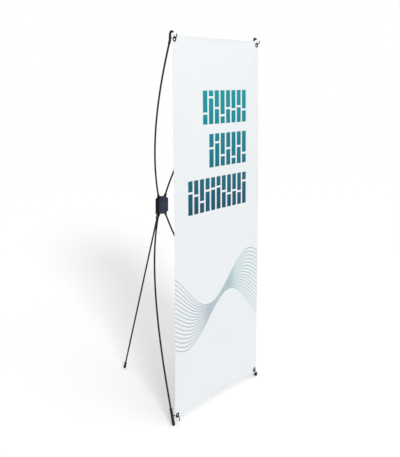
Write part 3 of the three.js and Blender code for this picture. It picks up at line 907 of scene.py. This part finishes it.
def addUpperCap(line):
    bore, radius, rim = armSizes["bore"] / 2, cap["radius"], cap["rim"]
    profile = [(0, 0.3), (bore, 0.3, 0), (bore, -cap["sleeve"], 0.2), (radius + rim, -cap["sleeve"], 0.4),
               (radius + rim, cap["rimLength"] - cap["sleeve"], 0.4),
               (radius, cap["rimLength"] - cap["sleeve"] + 0.8, 0.3)]
    for ring in cap["rings"]:
        profile += [(radius, ring - 0.7, 0.2), (radius - cap["ringDepth"], ring, 0.3),
                    (radius, ring + 0.7, 0.2)]
    profile += [(radius, 1, 0.5), (cap["nose"], 3, 0.5), (0, 3)]
    sleeve = turned(profile, line["end"], line["endWay"], 40)
    steps = cap["noseSteps"]
    curve = noseCurve(line, steps)
    radii = [cap["nose"] + (cap["noseTip"] - cap["nose"]) * (k / steps) ** 2 for k in range(steps + 1)]
    nose = tube(curve, radii, 32)
    tip = ballShape(curve[-1], cap["noseTip"])
    makePiece(line["name"] + "Cap", [sleeve, nose, tip], "nylon", line["name"] + "_arm",
              [line["name"] + "_end_cap"], melt=cap["melt"])


def footShapes(end, way, rodRadius, boreRadius, sleeve):
    radius, rim = rodRadius + foot["wall"], foot["rim"]
    centre = end + way * ((end.z - foot["flat"]) / -way.z)
    length = (centre - end).length
    profile = [(0, 0.3), (boreRadius, 0.3, 0), (boreRadius, -sleeve, 0.2), (radius + rim, -sleeve, 0.4),
               (radius + rim, foot["rimLength"] - sleeve, 0.4),
               (radius, foot["rimLength"] - sleeve + 0.8, 0.3),
               (radius, 0.55 * length, 2), (foot["radius"], length, 1), (0, length)]
    body = turned(profile, end, way, 40)
    ball = ballShape(centre, foot["radius"], 40)
    return [body, ball]


def flattened(piece, level=0.0):
    for vert in piece.data.vertices:
        vert.co.z = max(vert.co.z, level)


def addFootCap(line):
    shapes = footShapes(line["end"], line["endWay"], armSizes["rod"] / 2, armSizes["bore"] / 2,
                        foot["sleeve"])
    piece = makePiece(line["name"] + "Foot", shapes, "nylon", line["name"] + "_arm",
                      [line["name"] + "_foot_cap"], melt=foot["melt"])
    flattened(piece)


def hookRoot(line):
    if line["up"] > 0:
        middle = noseCurve(line, 100)[round(100 * wire["rootShare"])]
    else:
        middle = line["end"] + line["endWay"] * ((line["hookZ"] - line["end"].z) / line["endWay"].z)
    return Vector((middle.x, middle.y + wire["rootBack"], line["hookZ"]))


def addHook(line):
    x, z, up, side = line["eyelet"].x, line["hookZ"], line["up"], line["side"]
    root = hookRoot(line)
    reach, rise = wire["forward"], wire["rise"]
    path = [root, Vector((0.5 * (root.x + x), sheetY + 0.5 * (root.y - sheetY), z)),
            Vector((x, sheetY + 0.1 * reach, z)),
            Vector((x, sheetY - 0.45 * reach, z + up * 0.06 * rise)),
            Vector((x + side * 0.3 * wire["out"], sheetY - 0.86 * reach, z + up * 0.38 * rise)),
            Vector((x + side * wire["out"], sheetY - reach, z + up * rise))]
    points = flowing(path, 9)
    radii = [wire["radius"]] * len(points)
    way = (points[-1] - points[-2]).normalized()
    last = points[-1]
    for k in range(1, 6):
        angle = math.pi / 2 * k / 5
        points.append(last + way * (wire["radius"] * 0.9 * math.sin(angle)))
        radii.append(max(0.05, wire["radius"] * math.cos(angle)))
    makePiece(line["name"] + "Hook", [tube(points, radii, wire["sides"])], "wire", line["name"] + "_arm",
              [line["name"] + "_hook"], sharp=60)


for line in armLines:
    if line["up"] > 0:
        addUpperCap(line)
    else:
        addFootCap(line)
    addHook(line)
print("caps, feet and hooks made")


hub = dict(bevel=0.45, rimInset=3.4, rimWidth=1.8, rimTall=0.7, cornerX=14, cornerZ=11, padGap=0.5,
           padTop=1.1, padFoot=1.5, padTall=0.45)
screw = dict(shank=1.5, head=2.8, tall=1.6, slotLong=3.4, slotWide=0.75, slotDeep=0.9, turns=(1.1, 0.5))


def hubOutline(inset):
    halfX = (hubHigh.x - hubLow.x) / 2 - inset
    halfZ = (boxOf("hub_front_cover")[1].z - hubLow.z) / 2 - inset
    cut = inset * 0.45
    cornerX, cornerZ = halfX - hub["cornerX"] + cut, halfZ - hub["cornerZ"] + cut
    return [(halfX, -cornerZ), (halfX, cornerZ), (cornerX, halfZ), (-cornerX, halfZ), (-halfX, cornerZ),
            (-halfX, -cornerZ), (-cornerX, -halfZ), (cornerX, -halfZ)]


def hubRim():
    # A raised border moulded on the front cover.
    shape = bmesh.new()
    rings = []
    for inset in (hub["rimInset"], hub["rimInset"] + hub["rimWidth"]):
        rings.append([shape.verts.new((x, hubFrontY + 0.4, hubZ + z)) for x, z in hubOutline(inset)])
    edges = [shape.edges.new((ring[k], ring[k - 1])) for ring in rings for k in range(8)]
    made = bmesh.ops.bridge_loops(shape, edges=edges)
    out = bmesh.ops.extrude_face_region(shape, geom=made["faces"])["geom"]
    bmesh.ops.translate(shape, vec=(0, -0.4 - hub["rimTall"], 0),
                        verts=[g for g in out if isinstance(g, bmesh.types.BMVert)])
    bmesh.ops.recalc_face_normals(shape, faces=shape.faces)
    return shape


def hubPads():
    # A raised ring round each rivet head.
    pads = []
    for line in armLines:
        at = Vector((line["pivot"].x, hubFrontY, line["pivot"].z))
        inner, tall = rivet["head"] + hub["padGap"], hub["padTall"]
        pads.append(turned([(inner, -0.3, 0), (inner, tall, 0.15), (inner + hub["padTop"], tall, 0.25),
                            (inner + hub["padFoot"], -0.3, 0)], at, forward, 40, True))
    return pads


frontShell = makePiece("hubFrontShell", [nodeShape("hub_front_cover"), hubRim()] + hubPads(),
                       ["hub", "paintedLitFace"], "hub", ["hub_front_cover"], bevel=hub["bevel"], sharp=30)
# Faces looking forward take the lighter copy, painted light and a painted reflection, against the darker
# sides.
for face in frontShell.data.polygons:
    paintedLitFront = face.normal.y < -0.35 and face.center.y < (hubFrontY + 1) * 0.001
    face.material_index = 1 if paintedLitFront else 0
makePiece("hubRearShell", [nodeShape("hub_rear_cover")], "hub", "hub", ["hub_rear_cover"],
          bevel=hub["bevel"], sharp=30)


def addScrew(name, node):
    low, high = boxOf(node)
    place = Vector(((low.x + high.x) / 2, high.y, (low.z + high.z) / 2))
    length = high.y - low.y
    profile = [(0, 0), (screw["head"] * 0.4, -0.05, 0.4), (screw["head"], -0.55 * screw["tall"], 0.7),
               (screw["head"], -screw["tall"], 0.1), (screw["shank"], -screw["tall"], 0),
               (screw["shank"], -length, 0.3), (0, -length)]
    body = turned(profile, place, backward, 40)
    long, wide = screw["slotLong"] / 2, screw["slotWide"] / 2
    quarter = [(wide, wide), (wide, long), (-wide, long)]
    outline = [(x * c - y * s, x * s + y * c) for c, s in ((1, 0), (0, 1), (-1, 0), (0, -1))
               for x, y in quarter]
    cross = slab(outline, 2 * screw["slotDeep"], Vector((1, 0, 0)), Vector((0, 0, 1)), place)
    turn = Matrix.Rotation(screw["turns"][node.endswith("upper")], 4, "Y")
    bmesh.ops.transform(cross, matrix=Matrix.Translation(place) @ turn @ Matrix.Translation(-place),
                        verts=cross.verts)
    makePiece(name, [body], "rivet", "hub", [node], cutters=[cross], sharp=35)


addScrew("hubScrewLower", "hub_screw_lower")
addScrew("hubScrewUpper", "hub_screw_upper")
print("hub made")


def addRearLeg():
    hinge = hinges["rear_leg"]
    way = (Vector((0, leg["footBack"] + sheetY, 0)) - hinge).normalized()
    end = hinge + way * ((hinge.z - leg["endHeight"]) / -way.z)
    across = Vector((1, 0, 0))
    root = knuckleAndNeck(hinge, across, leg["knuckle"], leg["knuckleHalf"], hinge, way)
    bore = leg["bore"] / 2
    sleeve = turned(sleeveProfile(socket["sleeveStart"], leg["socketLength"], bore + leg["sleeveWall"], bore,
                                  leg["boreDepth"], socket["lip"], socket["lipLength"]), hinge, way)
    face = boxOf("rear_leg_socket")[0].y
    rise = hinge.z + leg["heelLift"]
    top = rise + leg["heelTall"]
    outline = [(face, rise), (hinge.y, rise), (hinge.y, rise + leg["heelRise"]),
               (face + leg["heelStep"], top), (face, top)]
    heel = slab(outline, leg["heelWide"], Vector((0, 1, 0)), Vector((0, 0, 1)), Vector((0, 0, 0)))
    makePiece("legSocket", root + [sleeve, heel], "nylon", "rear_leg",
              ["rear_leg_socket"], melt=socket["melt"])

    low, high = boxOf("rear_leg_hinge_pin")
    start = Vector((low.x + rivet["tall"], hinge.y, hinge.z))
    span = high.x - 0.8 * rivet["tall"] - start.x
    makePiece("legHingePin", [rivetShape(start, across, span)], "rivet", "hub",
              ["rear_leg_hinge_pin"], sharp=45)

    start = hinge + way * (leg["socketLength"] - leg["boreDepth"] + 0.3)
    points = [start.lerp(end, k / leg["poleSteps"]) for k in range(leg["poleSteps"] + 1)]
    rod = tube(points, [leg["rod"] / 2] * len(points), pole["sides"])
    makePiece("legPole", [rod], "rod", "rear_leg", ["rear_leg_pole"], sharp=60)

    shapes = footShapes(end, way, leg["rod"] / 2, leg["bore"] / 2, leg["footSleeve"])
    piece = makePiece("legFoot", shapes, "nylon", "rear_leg", ["rear_leg_foot"], melt=foot["melt"])
    flattened(piece)


addRearLeg()
print("rear leg made")

[line["name"] + "Hook" for line in armLines]
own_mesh(printedSheet)
